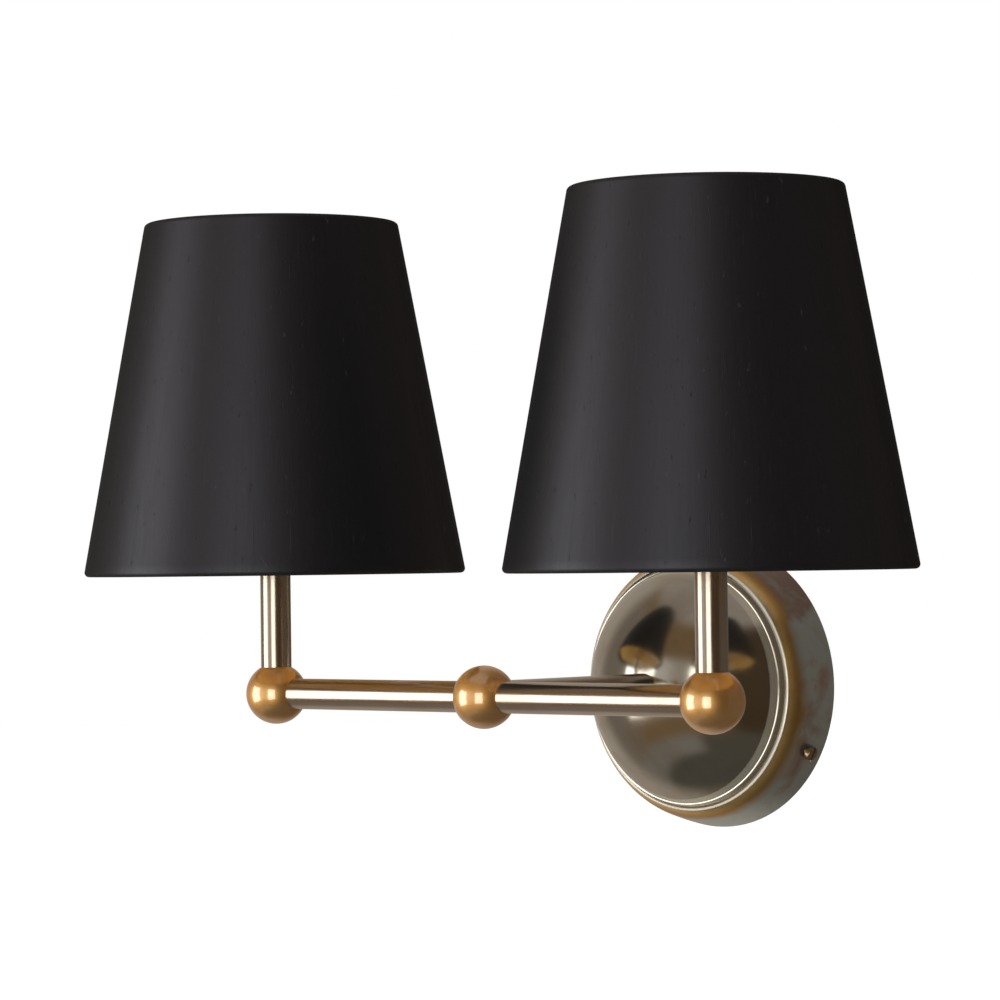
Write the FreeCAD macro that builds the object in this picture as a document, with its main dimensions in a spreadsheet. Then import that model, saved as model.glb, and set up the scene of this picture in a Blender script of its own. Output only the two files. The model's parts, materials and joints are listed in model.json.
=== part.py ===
"""Double arm wall sconce: a domed backplate, a stem, a cross bar with ball joints and two shaded lamps.

Lengths are in millimetres and angles in degrees. The origin is the middle of the wall bracket's
screw holes, on the wall. +X runs along the bar to the right as seen from the room, +Y runs into
the wall and +Z is up, so everything stands out from the wall towards -Y.
"""
import FreeCAD, Part
import math
import os

import Sketcher
from FreeCAD import Placement, Rotation, Vector

# Driving dimensions. Each is written once here and goes into the spreadsheet.
DIMENSIONS = {
    # Bar, stem and posts
    "arm_spacing": 216.0,  # from one post's axis to the other's
    "projection": 146.0,  # from the wall to the bar's axis
    "post_length": 40.0,  # from the end ball's seat to the lampholder
    "tube_diameter": 12.0,
    "tube_wall": 1.0,
    "ball_diameter": 24.0,
    "bar_passage": 8.0,  # the way drilled through a ball along the bar, for the leads
    "branch_passage": 7.4,  # the way drilled across it, to a post or to the stem
    "nipple_bore": 7.5,
    "nipple_reach": 5.2,  # how far a nipple screws into each of its two pieces
    "thread_play": 0.05,  # radial, between a fixed male and female thread
    "nipple_play": 0.2,  # radial, round the stem's nipple in the dome and its washer
    "cutter_past": 2.0,  # how far a cutting shape runs past the face that it opens
    # Backplate cover: a tapered rim, a rounded shoulder, two fine steps and a dome
    "cover_diameter": 115.4,
    "cover_wall": 1.2,
    "shoulder_inset": 3.4,  # how much less the shoulder's radius is than the rim's at the wall
    "shoulder_depth": 13.4,  # out from the wall
    "outer_step_inset": 4.5,  # in from the shoulder
    "outer_step_rise": 7.0,  # out from the shoulder
    "inner_step_inset": 2.2,
    "inner_step_rise": 2.7,
    "step_tread": 1.2,  # width of the flat between the two steps
    "tread_fall": 0.3,  # how far that flat leans out from the wall
    "dome_edge_tread": 0.6,
    "dome_rise": 26.3,
    "rim_bend": 180.0,  # radius of the rim's slight bulge, seen in section
    "shoulder_bend": 16.0,  # radius of the shoulder, seen in section
    "step_round": 0.4,
    # Wall bracket
    "bracket_inset": 8.7,  # how much less its radius is than the rim's
    "bracket_thickness": 1.5,
    "bracket_wiring_bore": 36.0,
    "wall_hole_spacing": 50.8,
    "wall_hole_diameter": 4.8,
    "tab_width": 12.0,
    "tab_past_screw": 3.3,  # how much further out than the cover screws' axes the tabs reach
    "tab_inset": 4.7,  # how much less their outer faces' radius is than the rim's
    # Cover screws through the rim into two of the bracket's three tabs
    "cover_screw_angle": -27.5,  # of the first tab and screw, up from +X
    "cover_screw_depth": 7.3,
    "screw_diameter": 4.0,
    "screw_head_diameter": 6.0,
    "screw_head_height": 1.9,
    "screw_slot": 0.9,
    "screw_clearance": 0.25,
    "screw_past_tab": 3.5,
    "screw_head_gap": 0.3,  # the head stands this far off the tapered rim
    "screw_head_round": 0.4,
    # Stem fixing inside the dome
    "washer_diameter": 16.0,
    "washer_thickness": 1.0,
    "earth_tag_thickness": 0.8,
    "earth_tag_length": 11.5,
    "earth_tag_width": 6.0,
    "nut_across_corners": 16.2,
    "nut_height": 3.5,
    "nipple_past_nut": 1.5,
    # Terminal block on the bracket
    "block_drop": 30.0,  # from the bracket's centre down to the block's centre
    "block_length": 32.0,
    "block_height": 18.0,
    "block_depth": 14.0,
    "way_pitch": 10.0,
    "way_bore": 3.4,
    "way_above_bracket": 7.0,
    "lead_into_way": 4.0,
    "terminal_screw_diameter": 3.0,
    "terminal_screw_length": 3.6,
    "terminal_screw_pitch": 9.0,
    "terminal_screw_sunk": 1.0,
    "block_screw_diameter": 3.0,
    "block_screw_head": 5.2,
    "block_screw_head_height": 1.6,
    "earth_screw_diameter": 4.0,
    "earth_screw_head": 7.6,
    "earth_screw_head_height": 2.4,
    "earth_screw_height": 31.0,  # above the bracket's centre
    # Lampholder, measured up from the post's top
    "holder_foot_diameter": 18.0,
    "holder_cap_diameter": 26.0,
    "holder_cap_height": 18.0,
    "holder_cap_round": 5.0,
    "holder_cap_wall": 1.5,
    "holder_floor_above_nipple": 0.5,
    "skirt_diameter": 27.6,
    "skirt_wall": 1.8,
    "skirt_top": 46.0,
    "skirt_lip_bore": 17.2,
    "flange_diameter": 34.0,
    "flange_underside": 24.5,
    "flange_thickness": 2.0,
    "core_diameter": 22.6,
    "core_top": 20.0,
    "core_lead_bore": 4.4,
    "core_lead_depth": 6.0,
    "screw_shell_bore": 14.3,
    "screw_shell_wall": 0.5,
    "screw_shell_height": 22.0,
    "contact_height": 3.8,
    "contact_plate": 0.8,
    "contact_diameter": 5.2,
    "contact_stalk_diameter": 2.4,
    # Bulb, a small globe with a screw cap
    "bulb_thread_play": 0.1,
    "bulb_contact_gap": 0.3,
    "bulb_tip_height": 1.5,
    "bulb_tip_diameter": 4.4,
    "bulb_insulator_height": 2.4,
    "bulb_insulator_diameter": 11.6,
    "bulb_cap_height": 18.0,
    "bulb_cap_wall": 0.5,
    "bulb_collar_diameter": 16.4,
    "bulb_collar_height": 4.0,
    "bulb_neck_diameter": 15.2,
    "bulb_neck_height": 5.0,
    "bulb_globe_diameter": 44.0,
    "bulb_glass": 0.8,
    "bulb_mount_height": 14.0,
    "bulb_mount_stalk": 4.4,
    "bulb_mount_plate": 8.4,
    "bulb_mount_plate_thickness": 1.0,
    "filament_diameter": 1.8,
    "filament_length": 18.0,
    "filament_circle": 5.6,
    # Shade
    "shade_base_diameter": 150.2,
    "shade_top_diameter": 100.6,
    "shade_height": 139.0,
    "shade_cloth": 0.6,
    "hem_radius": 1.8,
    "hem_return": 6.0,
    "hem_wire_play": 0.4,
    "liner_thickness": 0.4,
    "liner_play": 0.05,
    "fitter_recess": 30.2,  # from the shade's lower edge up to the fitter
    "fitter_bore": 28.8,
    "fitter_diameter": 39.0,
    "fitter_thickness": 1.2,
    "fitter_gap": 0.15,
    "spoke_diameter": 2.4,
    "spoke_end_height": 4.6,  # above the shade's lower edge
    "spoke_end_gap": 0.1,
    "shade_ring_diameter": 36.4,
    "shade_ring_height": 6.0,
    "shade_ring_play": 0.08,
    "shade_ring_chamfer": 0.8,
    # Leads
    "lead_diameter": 1.6,
    "lead_side_offset": 0.95,  # of each lead from the tube's axis
    "lead_row_offset": 0.9,  # of each arm's pair above or below the axis
    "lead_turn_in_ball": 6.0,
    "lead_turn_outside": 12.0,
    "lead_turn_at_block": 8.0,
    "lead_stack": 1.8,
    "lead_exit_depth": 36.0,
    "lead_drop_start": 8.0,
}

BRACKET_TABS = 3
COVER_SCREWS = 2
SPOKES = 3
FILAMENTS = 4
WAYS = 3
FULL_TURN = 360.0
THIRD_TURN = 120.0

# Directions that a turned piece's own axis may take
UP = Rotation()
OUT = Rotation(Vector(1, 0, 0), 90)  # out of the wall, towards -Y
INTO_WALL = Rotation(Vector(1, 0, 0), -90)
RIGHT = Rotation(Vector(1, 0, 1), 180)  # towards +X, with the side that faced +X turned up
LEFT = Rotation(Vector(0, 1, 0), -90)  # towards -X
# Turns of a sphere that bring its seam and poles clear of the holes drilled in it
SEAM_IN_FRONT = Rotation(Vector(0, 0, 1), -90)
SEAM_BELOW = Rotation(Vector(0, 0, -1), Vector(-1, 0, 0), Vector(0, 1, 0), "ZXY")
INWARD = -1  # an outline's arc that bends into the material
SAME_PLACE = 0.01  # two points nearer than this are one

doc = FreeCAD.newDocument("double_arm_wall_sconce")
sheet = doc.addObject("Spreadsheet::Sheet", "dims")
for row, (alias, number) in enumerate(DIMENSIONS.items(), start=1):
    sheet.set(f"A{row}", alias)
    sheet.set(f"B{row}", str(number))
    sheet.setAlias(f"B{row}", alias)
doc.recompute()


class Size:
    """A length or angle: its number now, and the formula on the spreadsheet that it follows."""

    def __init__(self, number, formula):
        self.number = float(number)
        self.formula = formula

    def __add__(self, other):
        other = as_size(other)
        return Size(self.number + other.number, f"({self.formula} + {other.formula})")

    def __sub__(self, other):
        other = as_size(other)
        return Size(self.number - other.number, f"({self.formula} - {other.formula})")

    def __mul__(self, other):
        other = as_size(other)
        return Size(self.number * other.number, f"({self.formula} * {other.formula})")

    def __truediv__(self, other):
        other = as_size(other)
        return Size(self.number / other.number, f"({self.formula} / {other.formula})")

    def __radd__(self, other):
        return as_size(other) + self

    def __rsub__(self, other):
        return as_size(other) - self

    def __rmul__(self, other):
        return as_size(other) * self

    def __neg__(self):
        return as_size(0) - self


def as_size(thing):
    return thing if isinstance(thing, Size) else Size(thing, repr(float(thing)))


def root(thing):
    return Size(math.sqrt(thing.number), f"sqrt({thing.formula})")


def cosine(angle):
    angle = as_size(angle)
    return Size(math.cos(math.radians(angle.number)), f"cos({angle.formula})")


def sine(angle):
    angle = as_size(angle)
    return Size(math.sin(math.radians(angle.number)), f"sin({angle.formula})")


def dim(alias):
    return Size(sheet.get(alias), f"dims.{alias}")


def bind(thing, prop, size):
    """Gives a property its number and ties it to the spreadsheet."""
    size = as_size(size)
    thing.setExpression(prop, size.formula)


def place(thing, at, turn=UP):
    """Puts an object somewhere, with its position tied to the spreadsheet."""
    at = [as_size(value) for value in at]
    thing.Placement = Placement(Vector(*[value.number for value in at]), turn)
    for letter, value in zip("xyz", at):
        bind(thing, f"Placement.Base.{letter}", value)


def turned_about_y(x, y, z, angle):
    """A point in the backplate's plane after turning it up from +X by an angle."""
    return (x * cosine(angle) - z * sine(angle), y, x * sine(angle) + z * cosine(angle))


# ---------------------------------------------------------------- shapes that pieces are made of


def origin_plane(body, role):
    return next(item for item in body.Origin.OriginFeatures if item.Role == role)


def outline_edge(start, end, bend):
    """The line or arc from one corner of an outline to the next."""
    if bend is None:
        return Part.LineSegment(Vector(*start, 0), Vector(*end, 0))
    radius, inward = abs(bend), bend < 0
    across, along = end[0] - start[0], end[1] - start[1]
    chord = math.hypot(across, along)
    height = math.sqrt(radius * radius - chord * chord / 4)
    side = -1 if inward else 1
    centre = (
        (start[0] + end[0]) / 2 - side * height * along / chord,
        (start[1] + end[1]) / 2 + side * height * across / chord,
    )
    first, last = (end, start) if inward else (start, end)
    angles = [math.atan2(point[1] - centre[1], point[0] - centre[0]) for point in (first, last)]
    if angles[1] < angles[0]:
        angles[1] += 2 * math.pi
    circle = Part.Circle(Vector(*centre, 0), Vector(0, 0, 1), radius)
    return Part.ArcOfCircle(circle, *angles)


def revolved(label, outline, at=(0, 0, 0), turn=UP):
    """A turned piece. The outline runs anticlockwise in (radius, height).

    Each corner is (radius, height), or (radius, height, bend, side) where an arc of that radius
    leads to the next corner: it bulges out, or into the material where side is INWARD.
    """
    body = doc.addObject("PartDesign::Body", label)
    body.Label = label
    sketch = body.newObject("Sketcher::SketchObject", f"{label}_outline")
    sketch.AttachmentSupport = [(origin_plane(body, "XZ_Plane"), "")]
    sketch.MapMode = "FlatFace"
    corners = [(as_size(corner[0]), as_size(corner[1])) for corner in outline]
    bends = [as_size(corner[2]) if len(corner) > 2 else None for corner in outline]
    sides = [corner[3] if len(corner) > 3 else 1 for corner in outline]
    count = len(outline)
    for i in range(count):
        start, end = corners[i], corners[(i + 1) % count]
        bend = None if bends[i] is None else bends[i].number * sides[i]
        points = [(x.number, y.number) for x, y in (start, end)]
        sketch.addGeometry(outline_edge(*points, bend), False)
    # An arc that bends inward is stored the other way round, so its ends are swapped.
    first = [2 if bends[i] is not None and sides[i] == INWARD else 1 for i in range(count)]
    for i in range(count):
        j = (i + 1) % count
        sketch.addConstraint(Sketcher.Constraint("Coincident", i, 3 - first[i], j, first[j]))
    bound = []
    for i, (across, up) in enumerate(corners):
        for kind, size in (("DistanceX", across), ("DistanceY", up)):
            rule = Sketcher.Constraint(kind, -1, 1, i, first[i], size.number)
            bound.append((sketch.addConstraint(rule), f"{kind}_{i}", size))
        if bends[i] is not None:
            rule = Sketcher.Constraint("Radius", i, bends[i].number)
            bound.append((sketch.addConstraint(rule), f"bend_{i}", bends[i]))
    for index, name, size in bound:
        sketch.renameConstraint(index, name)
        bind(sketch, f"Constraints.{name}", size)
    turned = body.newObject("PartDesign::Revolution", f"{label}_turned")
    turned.Profile = sketch
    turned.ReferenceAxis = (sketch, ["V_Axis"])
    turned.Angle = FULL_TURN
    body.Tip = turned
    place(body, at, turn)
    return body


def pipe(label, outer, inner, low, high, at=(0, 0, 0), turn=UP):
    outline = [(inner, low), (outer, low), (outer, high), (inner, high)]
    return revolved(label, outline, at, turn)


def cylinder(label, radius, length, at, turn=UP):
    """A plain round bar or drill, whose axis starts at a point."""
    bar = doc.addObject("Part::Cylinder", label)
    bind(bar, "Radius", radius)
    bind(bar, "Height", length)
    place(bar, at, turn)
    return bar


def block(label, size, at, turn=UP):
    """A box whose lowest corner is at a point before it is turned there."""
    box = doc.addObject("Part::Box", label)
    for prop, value in zip(("Length", "Width", "Height"), size):
        bind(box, prop, value)
    place(box, at, turn)
    return box


def joined(label, pieces):
    whole = doc.addObject("Part::MultiFuse", label)
    whole.Shapes = pieces
    return whole


def grouped(label, pieces):
    """Several identical solids in one piece of the list."""
    whole = doc.addObject("Part::Compound", label)
    whole.Links = pieces
    return whole


def drilled(label, solid, tools):
    whole = doc.addObject("Part::Cut", label)
    whole.Base = solid
    whole.Tool = tools[0] if len(tools) == 1 else joined(f"{label}_tools", tools)
    return whole


# ---------------------------------------------------------------- places shared by the pieces

tube_r = dim("tube_diameter") / 2
tube_bore_r = tube_r - dim("tube_wall")
nipple_r = tube_bore_r - dim("thread_play")
nipple_bore_r = dim("nipple_bore") / 2
ball_r = dim("ball_diameter") / 2
ball_seat = root(ball_r * ball_r - tube_r * tube_r)  # a tube's end, from the ball's centre
half_spacing = dim("arm_spacing") / 2
bar_y = -dim("projection")
post_top = ball_seat + dim("post_length")

cover_r = dim("cover_diameter") / 2
shoulder_r, shoulder = cover_r - dim("shoulder_inset"), dim("shoulder_depth")
outer_step_r, outer_step = shoulder_r - dim("outer_step_inset"), shoulder + dim("outer_step_rise")
inner_step_r = outer_step_r - dim("inner_step_inset")
inner_step = outer_step + dim("inner_step_rise")
dome_r = inner_step_r - dim("dome_edge_tread")
dome_rise = dim("dome_rise")
dome_bend = (dome_r * dome_r + dome_rise * dome_rise) / (2 * dome_rise)
dome_centre = inner_step + dome_rise - dome_bend
bracket_r = cover_r - dim("bracket_inset")
tab_face_r = cover_r - dim("tab_inset")
dome_inner_bend = dome_bend - dim("cover_wall")


def dome_depth(bend, radius):
    """How far out from the wall a face of the dome lies at a radius from the stem's axis."""
    return dome_centre + root(bend * bend - radius * radius)


stem_seat = dome_depth(dome_bend, tube_r)

washer_r = dim("washer_diameter") / 2
washer_seat = dome_depth(dome_inner_bend, washer_r)
tag_seat = washer_seat - dim("washer_thickness")
nut_seat = tag_seat - dim("earth_tag_thickness")
nipple_inner_end = nut_seat - dim("nut_height") - dim("nipple_past_nut")


def wall_point(depth):
    """A point on the backplate's axis, that far out from the wall."""
    return (0, -as_size(depth), 0)


# ---------------------------------------------------------------- wall bracket and its fixings

PARTS = []


def keep(piece, label):
    piece.Label = label
    PARTS.append(piece)
    return piece


def tab_angles():
    """Directions of the bracket's tabs. The cover is screwed to the first of them."""
    return [dim("cover_screw_angle") + THIRD_TURN * k for k in range(BRACKET_TABS)]


def radial_turn(angle):
    """Points a turned piece out along the backplate's radius at an angle."""
    return Rotation(Vector(0, 1, 0), 90 - angle.number)


def wall_bracket():
    thickness = dim("bracket_thickness")
    plate = cylinder("bracket_plate", bracket_r, thickness, (0, 0, 0), OUT)
    solids, holes = [plate], []
    past = dim("cutter_past")
    depth = past + thickness + past
    foot_start = bracket_r - dim("tab_width") / 2
    tab_height = dim("cover_screw_depth") + dim("tab_past_screw")
    for k, angle in enumerate(tab_angles()):
        turn = Rotation(Vector(0, 1, 0), -angle.number)
        half_width = dim("tab_width") / 2
        foot_length = tab_face_r - foot_start
        foot_at = turned_about_y(foot_start, -thickness, -half_width, angle)
        foot = (foot_length, thickness, dim("tab_width"))
        upright_start = tab_face_r - thickness
        upright_at = turned_about_y(upright_start, -tab_height, -half_width, angle)
        upright = (thickness, tab_height, dim("tab_width"))
        solids.append(block(f"tab_foot_{k}", foot, foot_at, turn))
        solids.append(block(f"tab_upright_{k}", upright, upright_at, turn))
        hole_at = turned_about_y(upright_start - past, -dim("cover_screw_depth"), 0, angle)
        hole_r = dim("screw_diameter") / 2 + dim("thread_play")
        hole = cylinder(f"tab_hole_{k}", hole_r, depth, hole_at, radial_turn(angle))
        holes.append(hole)
    wiring_r = dim("bracket_wiring_bore") / 2
    holes.append(cylinder("wiring_hole", wiring_r, depth, (0, past, 0), OUT))
    for side in (-1, 1):
        at = (side * dim("wall_hole_spacing") / 2, past, 0)
        name = f"wall_hole_{'left' if side < 0 else 'right'}"
        holes.append(cylinder(name, dim("wall_hole_diameter") / 2, depth, at, OUT))
    earth_at = (0, past, dim("earth_screw_height"))
    earth_r = dim("earth_screw_diameter") / 2 + dim("thread_play")
    holes.append(cylinder("earth_screw_hole", earth_r, depth, earth_at, OUT))
    block_at = (dim("way_pitch") / 2, past, -dim("block_drop"))
    block_r = dim("block_screw_diameter") / 2 + dim("thread_play")
    holes.append(cylinder("block_screw_hole", block_r, depth, block_at, OUT))
    keep(drilled("bracket", joined("bracket_blank", solids), holes), "wall_bracket")


def bracket_earth_screw():
    shank_r = dim("earth_screw_diameter") / 2
    head_r = dim("earth_screw_head") / 2
    low = dim("bracket_thickness")
    high = low + dim("earth_screw_head_height")
    outline = [(0, 0), (shank_r, 0), (shank_r, low), (head_r, low), (head_r, high), (0, high)]
    at = (0, 0, dim("earth_screw_height"))
    screw = revolved("earth_screw_blank", outline, at, OUT)
    slot = dim("screw_slot")
    corner = (-head_r, -high, dim("earth_screw_height") - slot / 2)
    cutter = block("earth_screw_slot", (head_r * 2, slot, slot), corner)
    keep(drilled("earth_screw", screw, [cutter]), "bracket_earth_screw")


def terminal_block():
    thickness = dim("bracket_thickness")
    length, height, depth = dim("block_length"), dim("block_height"), dim("block_depth")
    middle = -dim("block_drop")
    size = (length, depth, height)
    body = block("block_body", size, (-length / 2, -thickness - depth, middle - height / 2))
    way_y = -thickness - dim("way_above_bracket")
    face_y = -thickness - depth
    past = dim("cutter_past")
    drills, screws = [], []
    for way in range(WAYS):
        x = dim("way_pitch") * (way - (WAYS - 1) / 2)
        at = (x, way_y, middle - height / 2 - past)
        drills.append(cylinder(f"way_{way}", dim("way_bore") / 2, past + height + past, at))
        for row, side in enumerate((-1, 1)):
            z = middle + side * dim("terminal_screw_pitch") / 2
            well_r = dim("terminal_screw_diameter") / 2 + dim("thread_play")
            well_depth = dim("terminal_screw_sunk") + dim("terminal_screw_length")
            well_at = (x, face_y + well_depth, z)
            name = f"terminal_{way}_{row}"
            drills.append(cylinder(f"{name}_well", well_r, well_depth + past, well_at, OUT))
            screw_r = dim("terminal_screw_diameter") / 2
            screw = cylinder(name, screw_r, dim("terminal_screw_length"), well_at, OUT)
            corner = (x - screw_r, face_y + dim("terminal_screw_sunk"), z - dim("screw_slot") / 2)
            slot = (screw_r * 2, dim("screw_slot"), dim("screw_slot"))
            screws.append(drilled(f"{name}_slotted", screw, [block(f"{name}_slot", slot, corner)]))
    # The screw that holds the block stands between two ways, with its head on the block's face.
    screw_x = dim("way_pitch") / 2
    hole_r = dim("block_screw_diameter") / 2 + dim("thread_play")
    head_r = dim("block_screw_head") / 2
    hole_at = (screw_x, past - thickness, middle)
    drills.append(cylinder("block_hole", hole_r, past + depth + past, hole_at, OUT))
    keep(drilled("block", body, drills), "terminal_block")
    keep(grouped("terminals", screws), "terminal_screws")
    shank_r = dim("block_screw_diameter") / 2
    low = thickness + depth
    high = low + dim("block_screw_head_height")
    outline = [(0, 0), (shank_r, 0), (shank_r, low), (head_r, low), (head_r, high), (0, high)]
    keep(revolved("block_fixing", outline, (screw_x, 0, middle), OUT), "block_screw")


def circle_name(shape, radius, height):
    """The name of the circular edge of a turned shape with a radius and height."""
    for number, edge in enumerate(shape.Edges, start=1):
        if isinstance(edge.Curve, Part.Circle):
            found = (edge.Curve.Radius, edge.Curve.Center.z)
            if math.dist(found, (radius.number, height.number)) < SAME_PLACE:
                return f"Edge{number}"
    raise RuntimeError("the edge is missing")


def backplate_cover():
    wall = dim("cover_wall")
    hole_r = nipple_r + dim("nipple_play")
    inner_edge_r = dome_r - wall
    inner_edge = dome_depth(dome_inner_bend, inner_edge_r)
    inner_top = dome_depth(dome_inner_bend, hole_r)
    outline = [
        (cover_r - wall, 0),
        (cover_r, 0, dim("rim_bend"), 1),
        (shoulder_r, shoulder, dim("shoulder_bend"), 1),
        (outer_step_r, outer_step),
        (outer_step_r - dim("step_tread"), outer_step + dim("tread_fall")),
        (inner_step_r, inner_step),
        (dome_r, inner_step, dome_bend, 1),
        (tube_r, stem_seat),
        (hole_r, stem_seat),
        (hole_r, inner_top, dome_inner_bend, INWARD),
        (inner_edge_r, inner_edge),
        (shoulder_r - wall, shoulder - wall),
    ]
    blank = revolved("cover_blank", outline, (0, 0, 0), OUT)
    doc.recompute()
    # The two fine steps catch the light, so their edges are rounded a little.
    turned = blank.Tip
    steps = ((outer_step_r, outer_step), (inner_step_r, inner_step))
    rounds = blank.newObject("PartDesign::Fillet", "step_rounds")
    rounds.Base = (turned, [circle_name(turned.Shape, *step) for step in steps])
    bind(rounds, "Radius", dim("step_round"))
    blank.Tip = rounds
    holes = []
    for k, angle in enumerate(tab_angles()[:COVER_SCREWS]):
        at = turned_about_y(tab_face_r, -dim("cover_screw_depth"), 0, angle)
        radius = dim("screw_diameter") / 2 + dim("screw_clearance")
        length = cover_r - tab_face_r + dim("cutter_past")
        holes.append(cylinder(f"rim_hole_{k}", radius, length, at, radial_turn(angle)))
    keep(drilled("cover", blank, holes), "backplate_cover")


def rim_radius(depth):
    """The rim's outer radius at a depth, taken along the straight line up to the shoulder."""
    return cover_r - depth * dim("shoulder_inset") / shoulder


def cover_screws():
    shank_r, head_r = dim("screw_diameter") / 2, dim("screw_head_diameter") / 2
    inner_end = tab_face_r - dim("bracket_thickness") - dim("screw_past_tab")
    seat = rim_radius(dim("cover_screw_depth") - head_r) + dim("screw_head_gap")
    top = seat + dim("screw_head_height")
    rounding = dim("screw_head_round")
    outline = [
        (0, inner_end),
        (shank_r, inner_end),
        (shank_r, seat),
        (head_r, seat),
        (head_r, top - rounding, rounding, 1),
        (head_r - rounding, top),
        (0, top),
    ]
    screws = []
    for k, angle in enumerate(tab_angles()[:COVER_SCREWS]):
        at = wall_point(dim("cover_screw_depth"))
        blank = revolved(f"cover_screw_blank_{k}", outline, at, radial_turn(angle))
        slot = dim("screw_slot")
        corner = turned_about_y(top - slot, -dim("cover_screw_depth") - slot / 2, -head_r, angle)
        turn = Rotation(Vector(0, 1, 0), -angle.number)
        cutter = block(f"cover_screw_slot_{k}", (slot * 2, slot, head_r * 2), corner, turn)
        screws.append(drilled(f"cover_screw_{k}", blank, [cutter]))
    keep(grouped("rim_screws", screws), "cover_screws")


# ---------------------------------------------------------------- stem, bar, balls and posts


def stem_fixing():
    washer_bore = nipple_r + dim("nipple_play")
    past = dim("cutter_past")
    washer = pipe("washer", washer_r, washer_bore, tag_seat, washer_seat, turn=OUT)
    keep(washer, "stem_washer")
    ring = pipe("tag_ring", washer_r, washer_bore, nut_seat, tag_seat, turn=OUT)
    width, length = dim("earth_tag_width"), dim("earth_tag_length")
    tongue_size = (width, dim("earth_tag_thickness"), length - washer_r + width / 2)
    tongue = block("tag_tongue", tongue_size, (-width / 2, -tag_seat, -length))
    hole = cylinder("tag_hole", washer_bore, tag_seat, (0, 0, 0), OUT)
    keep(drilled("tag", joined("tag_blank", [ring, tongue]), [hole]), "earth_tag")
    hexagon = doc.addObject("Part::Prism", "nut_blank")
    hexagon.Polygon = 6
    bind(hexagon, "Circumradius", dim("nut_across_corners") / 2)
    bind(hexagon, "Height", dim("nut_height"))
    nut_low = nut_seat - dim("nut_height")
    place(hexagon, wall_point(nut_low), OUT)
    bore_r = nipple_r + dim("thread_play")
    bore_length = past + dim("nut_height") + past
    bore = cylinder("nut_bore", bore_r, bore_length, wall_point(nut_low - past), OUT)
    keep(drilled("nut", hexagon, [bore]), "stem_nut")
    long_end = stem_seat + dim("nipple_reach")
    ends = (nipple_inner_end, long_end)
    keep(pipe("long_nipple", nipple_r, nipple_bore_r, *ends, turn=OUT), "stem_nipple")


def tubes():
    stem_length = dim("projection") - ball_seat - stem_seat
    stem_at = wall_point(stem_seat)
    keep(pipe("stem", tube_r, tube_bore_r, 0, stem_length, stem_at, OUT), "stem_tube")
    for side, name, turn in ((-1, "left", LEFT), (1, "right", RIGHT)):
        at = (0, bar_y, 0)
        far = half_spacing - ball_seat
        arm = pipe(f"arm_{name}", tube_r, tube_bore_r, ball_seat, far, at, turn)
        keep(arm, f"arm_tube_{name}")
        at = (half_spacing * side, bar_y, 0)
        post = pipe(f"post_{name}", tube_r, tube_bore_r, ball_seat, post_top, at)
        keep(post, f"post_tube_{name}")


def ball_drill(label, centre, turn, passage_r, start):
    """A stepped drill: a lead passage, a threaded socket and a flat seat for a tube.

    It starts at a height on its own axis, or goes right through with a seat at both ends.
    """
    socket = ball_seat - dim("nipple_reach") - dim("thread_play")
    clear_r, clear_end = tube_r + dim("cutter_past"), ball_r + dim("cutter_past")
    upper = [
        (passage_r, socket),
        (tube_bore_r, socket),
        (tube_bore_r, ball_seat),
        (clear_r, ball_seat),
        (clear_r, clear_end),
        (0, clear_end),
    ]
    if start is None:
        lower = [(radius, -as_size(height)) for radius, height in reversed(upper)]
    else:
        lower = [(0, start), (passage_r, start)]
    return revolved(label, lower + upper, centre, turn)


def ball(label, centre, seam_turn, bar_turn, bar_start, branch_turn):
    """A ball drilled along the bar, from a height or right through, and across it."""
    sphere = doc.addObject("Part::Sphere", f"{label}_sphere")
    bind(sphere, "Radius", ball_r)
    place(sphere, centre, seam_turn)
    bar_r, branch_r = dim("bar_passage") / 2, dim("branch_passage") / 2
    along = ball_drill(f"{label}_bar_drill", centre, bar_turn, bar_r, bar_start)
    across = ball_drill(f"{label}_branch_drill", centre, branch_turn, branch_r, 0)
    through = drilled(f"{label}_through", sphere, [along])
    keep(drilled(f"{label}_drilled", through, [across]), label)


def balls():
    past_branch = -dim("branch_passage") / 2
    ball("centre_ball", (0, bar_y, 0), SEAM_IN_FRONT, RIGHT, None, INTO_WALL)
    ends = (("end_ball_left", -half_spacing, RIGHT), ("end_ball_right", half_spacing, LEFT))
    for label, x, inward in ends:
        ball(label, (x, bar_y, 0), SEAM_BELOW, inward, past_branch, UP)


def joint_nipples():
    """The short hollow screws that hold a tube to a ball or a lampholder: all alike."""
    reach = dim("nipple_reach")
    seats = [((0, bar_y, 0), INTO_WALL, ball_seat)]
    for side, outward, inward in ((-1, LEFT, RIGHT), (1, RIGHT, LEFT)):
        seats.append(((0, bar_y, 0), outward, ball_seat))
        end = (half_spacing * side, bar_y, 0)
        seats.append((end, inward, ball_seat))
        seats.append((end, UP, ball_seat))
        seats.append((end, UP, post_top))
    nipples = []
    for k, (at, turn, seat) in enumerate(seats):
        nipple = pipe(f"nipple_{k}", nipple_r, nipple_bore_r, seat - reach, seat + reach, at, turn)
        nipples.append(nipple)
    keep(grouped("nipples", nipples), "joint_nipples")


# ---------------------------------------------------------------- lampholders and bulbs

holder_floor = dim("nipple_reach") + dim("holder_floor_above_nipple")
skirt_r = dim("skirt_diameter") / 2
skirt_bore_r = skirt_r - dim("skirt_wall")
flange_top = dim("flange_underside") + dim("flange_thickness")
contact_top = dim("core_top") + dim("contact_height")
bulb_base = contact_top + dim("bulb_contact_gap")
bulb_cap_base = bulb_base + dim("bulb_tip_height") + dim("bulb_insulator_height")
bulb_cap_top = bulb_cap_base + dim("bulb_cap_height")
glass_base = bulb_cap_top + dim("bulb_cap_wall")


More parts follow.
